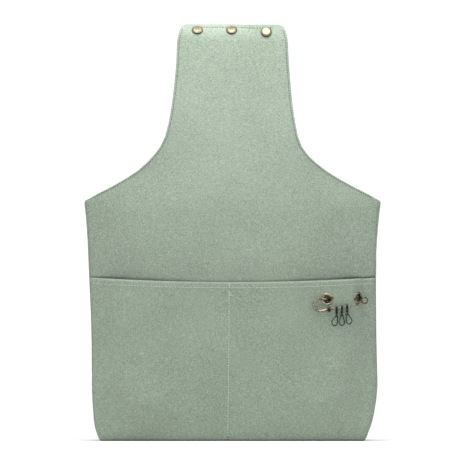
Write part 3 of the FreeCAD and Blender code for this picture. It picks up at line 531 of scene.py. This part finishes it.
def pocket_bulge(x, z):
    """How far the pocket cloth stands off the front panel."""
    w = half_width(z)
    left = ease(-w + 4, -w + 40, x)
    flat_until, step = 130.5, 139.8
    right = 1.0
    if x > flat_until - 2:
        right = 1.0 - min(max((x - flat_until) / (step - flat_until), 0.0), 1.0)
    near_eye = ease(50, 95, x) * ease(105, 140, z)
    gentle = 1.0 - ease(w - 46, w - 3, x)
    right = right * near_eye + gentle * (1 - near_eye)
    full = 2.6 + 9.7 * ease(30.0, 100.0, abs(x - DIVIDE)) * ease(0.0, 60.0, z)
    body = POCKET_FULL * near_eye + full * (1 - near_eye)
    crease = 0.9 * math.exp(-((x - DIVIDE) / 2.6) ** 2)
    rest = belly(x, z) * (1 - near_eye)
    limit = POCKET_FULL - crease
    return min(1.3 + (body - 1.3) * left * right + rest, limit) - crease * 0.2


def pocket_grid():
    rows = []
    heights = [0.012, 0.03, 0.06, 0.1] + list(np.linspace(0.14, 0.93, 44)) + [0.945, 0.955, 0.965, 0.975, 0.985, 0.9925, 1.0]
    cols = np.concatenate([[-1.0, -0.993, -0.982], np.linspace(-0.965, -0.05, 48),
                           [-0.043, -0.040, -0.0375, -0.035, -0.0325, -0.030, -0.027, -0.0225, -0.0205, -0.0185,
                            -0.013, -0.007, 0.0],
                           np.linspace(0.012, 0.80, 42), np.linspace(0.812, 0.93, 20), [0.945, 0.96, 0.972, 0.979, 0.983, 0.9865, 0.99, 0.9935, 1.0]])
    for f in [0.0] + heights:
        row = []
        for u in cols:
            wide = 156.2
            x = u * wide
            z = f * hem_height(x)
            w = half_width(z) + 0.5 * ease(168, 178, z)
            x = u * (w + (table(FULL_RIGHT, z) if u > 0 else 0.0)) + shift(z)
            z = max(z, 0.0)
            y = lean_depth(z) - pocket_bulge(x, z)
            foot = 7.0
            if z < foot:
                y += 0.9 * (foot - math.sqrt(max(foot ** 2 - (foot - z) ** 2, 0.0)))
            inward = w * (1 - abs(u))
            if inward < 6:
                y += 0.55 * (6 - math.sqrt(max(36 - (6 - inward) ** 2, 0.0)))
            if u > 0:
                # the seam that joins the pocket to the strip shows as a thin groove
                y += 0.7 * math.exp(-((inward - 2.1) / 0.45) ** 2)
            # the dividing seam pinches the foot
            y += 1.2 * math.exp(-((x - DIVIDE + 1.7) / 0.8) ** 2) * (1 - ease(4.0, 9.0, z))
            # the folded hem rolls over at its top and catches the light
            roll = max(z - (hem_height(x) - 1.7), 0.0)
            y += 1.1 * (1.7 - math.sqrt(max(1.7 ** 2 - roll ** 2, 0.0)))
            calm = (1 - ease(0.9, 1.0, abs(x) / w)) * ease(3, 30, z)
            near_eye = ease(60, 90, x) * ease(115, 138, z)
            y -= (1.3 * wave(x, 0, z, 80.0, 8) + 0.55 * wave(x, 0, z, 30.0, 3)) * calm * (1 - near_eye)
            row.append((x, y, z))
        rows.append(row)
    return np.array(rows)


pocket = pocket_grid()
pocket_thick = np.full(pocket.shape[:2], 1.2)
pocket_thick[-9:, :] = 2.2
pocket_cloth = closed_sheet("pocket_cloth", pocket, pocket_thick, POCKET, flip=False)

# Holes the eyelets line: centre, and turn about the upright axis, degrees.
for number, (spot, turn) in enumerate((((102.1, -67.5, 153.0), 0.0),
                                       ((134.8, -62.04, 154.3), 50.0))):
    bpy.ops.mesh.primitive_cylinder_add(vertices=40, radius=4.62 * MM, depth=9.0 * MM,
                                        location=[c * MM for c in spot],
                                        rotation=(math.radians(90), 0, math.radians(turn)))
    punch = bpy.context.object
    modifier = pocket_cloth.modifiers.new("eyelet_hole", "BOOLEAN")
    modifier.operation = "DIFFERENCE"
    modifier.solver = "EXACT"
    modifier.object = punch
    bpy.context.view_layer.objects.active = pocket_cloth
    bpy.ops.object.modifier_apply(modifier="eyelet_hole")
    bpy.data.objects.remove(punch, do_unlink=True)

# ------------------------------------------------------------------ stitches
def stitches(name, runs, pitch=2.9, length=1.9, radius=0.42, material=THREAD):
    """Rows of small sewn stitches along lines lying on the cloth.  Each run is a list of
    (point, normal) in millimetres."""
    points, faces = [], []
    ring = 6
    for run in runs:
        line = np.array([r[0] for r in run])
        norm = np.array([r[1] for r in run])
        gaps = np.linalg.norm(np.diff(line, axis=0), axis=1)
        along = np.concatenate([[0], np.cumsum(gaps)])
        count = int(along[-1] / pitch)
        for k in range(count):
            start = (k + 0.5) * along[-1] / count - length / 2
            knots = []
            for f, out, wide in ((0, -0.12, 0.4), (0.18, 0.10, 0.9), (0.5, 0.16, 1.0), (0.82, 0.10, 0.9), (1, -0.12, 0.4)):
                s = start + f * length
                p = np.array([np.interp(s, along, line[:, a]) for a in range(3)])
                n = np.array([np.interp(s, along, norm[:, a]) for a in range(3)])
                n /= np.linalg.norm(n)
                knots.append((p + n * out, n, wide))
            way = knots[-1][0] - knots[0][0]
            way /= np.linalg.norm(way)
            base = len(points)
            for p, n, wide in knots:
                across = np.cross(way, n)
                for a in range(ring):
                    t = 2 * math.pi * a / ring
                    points.append(p + (across * math.cos(t) + n * 0.8 * math.sin(t)) * radius * wide)
            for r in range(4):
                for a in range(ring):
                    b = (a + 1) % ring
                    q = base + r * ring
                    faces.append((q + a, q + b, q + ring + b, q + ring + a))
            faces.append(tuple(base + a for a in reversed(range(ring))))
            faces.append(tuple(base + 4 * ring + a for a in range(ring)))
    return mesh_object(name, np.array(points) * MM, faces, material)


def edge_run(grid, inset, sign, first, last, flip):
    """Line on a grid at a fixed distance in from its left or right edge."""
    normal = grid_normals(grid) * (-1 if flip else 1)
    run = []
    for i in range(first, last):
        row = grid[i] if sign < 0 else grid[i][::-1]
        nrow = normal[i] if sign < 0 else normal[i][::-1]
        gaps = np.linalg.norm(np.diff(row, axis=0), axis=1)
        along = np.concatenate([[0], np.cumsum(gaps)])
        # the edge runs aslant on the shoulders, so the level distance grows there
        j = min(max(i, 1), len(grid) - 2)
        rise = grid[j + 1][0 if sign < 0 else -1] - grid[j - 1][0 if sign < 0 else -1]
        slant = abs(rise[0]) / (np.linalg.norm(rise) + 1e-9)
        level = inset / max(math.sqrt(1 - slant ** 2), 0.30)
        p = np.array([np.interp(level, along, row[:, a]) for a in range(3)])
        n = np.array([np.interp(level, along, nrow[:, a]) for a in range(3)])
        run.append((p, n))
    return run


heights = [r[0][2] for r in front_grid]
shoulder_row = next(i for i, z in enumerate(heights) if z >= 262.0)
tip_row = len(front_grid) - 6


EDGE_INSET = 1.7


def tab_runs(grid, flip):
    runs = [edge_run(grid, EDGE_INSET, -1, shoulder_row, tip_row, flip),
            edge_run(grid, EDGE_INSET, 1, shoulder_row, tip_row, flip)]
    normal = grid_normals(grid) * (-1 if flip else 1)
    across = []
    row = len(grid) - 5
    for j in range(10, len(COLS) - 10, 3):
        across.append((grid[row][j], normal[row][j]))
    return runs + [across]


front_stitch = stitches("front_stitching", tab_runs(front_grid, False), pitch=2.8, length=1.5,
                        radius=0.54, material=EDGE_THREAD)
back_stitch = stitches("back_stitching", tab_runs(back_grid, True), pitch=2.8, length=1.5,
                       radius=0.54, material=EDGE_THREAD)


def pocket_runs():
    normal = grid_normals(pocket)
    hem = []
    for j in range(2, pocket.shape[1] - 2):
        column = pocket[:, j]
        edge = column[-1]
        target = edge[2] - 6.2
        p = np.array([np.interp(target, column[:, 2], column[:, a]) for a in range(3)])
        n = np.array([np.interp(target, column[:, 2], normal[:, j, a]) for a in range(3)])
        hem.append((p, n))
    middle = []
    for row in pocket[2:-3]:
        x = DIVIDE - 1.9 * (1 - row[0][2] / HEM_SIDE)
        p = np.array([x] + [np.interp(x, row[:, 0], row[:, a]) for a in (1, 2)])
        p[1] -= 0.12
        if p[2] < hem_height(DIVIDE) - 8:
            middle.append((p, np.array([0, -1.0, 0])))
    return [hem], [middle]


hem_run, divider_run = pocket_runs()
pocket_stitch = stitches("pocket_stitching", hem_run)
divider_stitch = stitches("divider_stitching", divider_run, radius=0.48, material=DIVIDER_THREAD)

# bar tack at the top of the middle row
tack = []
top_z = hem_height(DIVIDE) - 1.8
for k in range(8):
    z = top_z - 0.65 * k
    column = pocket[:, int(np.argmin(np.abs(pocket[-1, :, 0] - DIVIDE)))]
    y = float(np.interp(z, column[:, 2], column[:, 1])) - 0.35
    tack.append([(np.array([DIVIDE - 1.6, y, z]), np.array([0, -1.0, 0])),
                 (np.array([DIVIDE + 1.6, y, z]), np.array([0, -1.0, 0]))])
bar_tack = stitches("bar_tack", tack, pitch=3.2, length=3.0, radius=0.30)

# ------------------------------------------------------------------ what each piece stands for
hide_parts("front_panel", "front_tab", "front_facing", "front_tab_facing")
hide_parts("back_panel", "back_tab", "back_facing", "back_tab_facing")
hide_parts("gusset_left", "gusset_right", "base_panel")
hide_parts("front_pocket")
for piece in (gusset, pocket_cloth, pocket_stitch, divider_stitch, bar_tack):
    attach(piece, "bag")
for side, body, pieces in ((-1, "front_handle", (front_cloth, front_stitch)),
                           (1, "back_handle", (back_cloth, back_stitch))):
    for piece in pieces:
        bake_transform(piece)

# ------------------------------------------------------------------ metal finishes
for obj in bpy.data.objects:
    name = obj.name
    if obj.type != "MESH" or "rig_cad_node" not in obj:
        continue
    if name.startswith("snap") and name.endswith("cap"):
        material = CAPS
    elif name.startswith(("pin_wire", "pin_arm")):
        material = WIRE
    elif name.startswith(("snap", "eyelet", "pin_hook")):
        material = BRASS
    elif name.startswith("pin_bead"):
        material = COPPER
    elif name.startswith(("marker", "pin_clasp")):
        material = GUNMETAL
    else:
        continue
    obj.data.materials.clear()
    obj.data.materials.append(material)

# ------------------------------------------------------------------ studio
def plain_material(name, colour, roughness=0.9):
    material, nodes, links, shader = new_material(name)
    shader.inputs["Base Color"].default_value = colour
    shader.inputs["Roughness"].default_value = roughness
    shader.inputs["Specular IOR Level"].default_value = 0.1
    return material


bpy.ops.mesh.primitive_plane_add(size=14, location=(0, 0, 0))
floor = bpy.context.object
floor.name = "floor"
floor.data.materials.append(plain_material("floor_white", (0.92, 0.92, 0.92, 1)))

world = bpy.context.scene.world or bpy.data.worlds.new("studio")
bpy.context.scene.world = world
world.use_nodes = True
background = world.node_tree.nodes["Background"]
background.inputs["Color"].default_value = (1.0, 1.0, 1.0, 1)
background.inputs["Strength"].default_value = 1.12


def soft_light(name, place, target, size, power, colour=(1, 1, 1)):
    data = bpy.data.lights.new(name, "AREA")
    data.shape = "RECTANGLE"
    data.size, data.size_y = size
    data.energy = power
    data.color = colour
    obj = bpy.data.objects.new(name, data)
    bpy.context.collection.objects.link(obj)
    obj.location = place
    obj.rotation_euler = (Vector(target) - Vector(place)).to_track_quat("-Z", "Y").to_euler()
    return obj


soft_light("key", (-0.08, -0.42, 0.90), (0, -0.02, 0.38), (0.5, 0.4), 2.2)
soft_light("top", (0.0, -0.12, 0.82), (0, -0.01, 0.42), (0.35, 0.3), 3.8)

camera_data = bpy.data.cameras.new("camera")
camera = bpy.data.objects.new("camera", camera_data)
bpy.context.collection.objects.link(camera)
DISTANCE = 16.0
FIELD = 465 * 1.079 * MM
camera.location = (0, -DISTANCE - 0.0558, 0.225)
camera.rotation_euler = (math.radians(90), 0, 0)
camera_data.sensor_width = 36
camera_data.lens = 36 * DISTANCE / FIELD
camera_data.clip_end = 60
bpy.context.scene.camera = camera
bpy.context.scene.view_settings.view_transform = "Standard"
